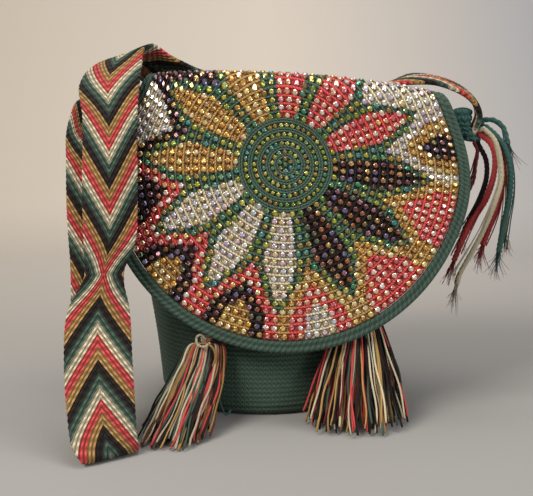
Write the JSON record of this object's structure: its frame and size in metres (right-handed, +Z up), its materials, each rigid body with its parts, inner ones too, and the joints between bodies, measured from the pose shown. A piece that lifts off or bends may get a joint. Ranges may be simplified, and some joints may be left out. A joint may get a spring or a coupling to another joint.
{
  "type": "wayuu mochila bag",
  "caption": "Crocheted bucket bag with a stone-covered round flap, woven chevron strap, drawstring and mixed-yarn tassels.",
  "frame": {"origin": "middle of the flat base, on the floor", "axes": "+Z up, -Y out of the front where the flap hangs, +X to the side where the strap's yarn ends hang"},
  "size_m": [0.3436, 0.2727, 0.2816],
  "materials": {
    "green_yarn": "matt",
    "stone_flap": "matt",
    "green_edging": "matt",
    "strap_weave": "matt",
    "teal_yarn": "matt",
    "cream_yarn": "matt",
    "coral_yarn": "matt",
    "brown_yarn": "matt",
    "maroon_yarn": "matt",
    "tan_yarn": "matt",
    "mixed_yarn": "matt",
    "rust_yarn": "matt"
  },
  "bodies": {
    "root": {"bag_body": "green_yarn", "flap_panel": "stone_flap", "flap_edging": "green_edging", "strap": "strap_weave", "strap_tab_right": "teal_yarn", "strap_tab_left": "teal_yarn", "tail_green_long": "teal_yarn", "tail_green_short": "teal_yarn", "tail_cream": "cream_yarn", "tail_coral_left": "coral_yarn", "tail_coral_right": "coral_yarn", "tail_brown": "brown_yarn", "tail_maroon": "maroon_yarn", "tail_tan": "tan_yarn", "tassel_left_skirt": "mixed_yarn", "tassel_left_tie": "cream_yarn", "tassel_right_skirt": "mixed_yarn", "tassel_right_tie": "cream_yarn", "drawstring": "rust_yarn"}
  },
  "joints": []
}
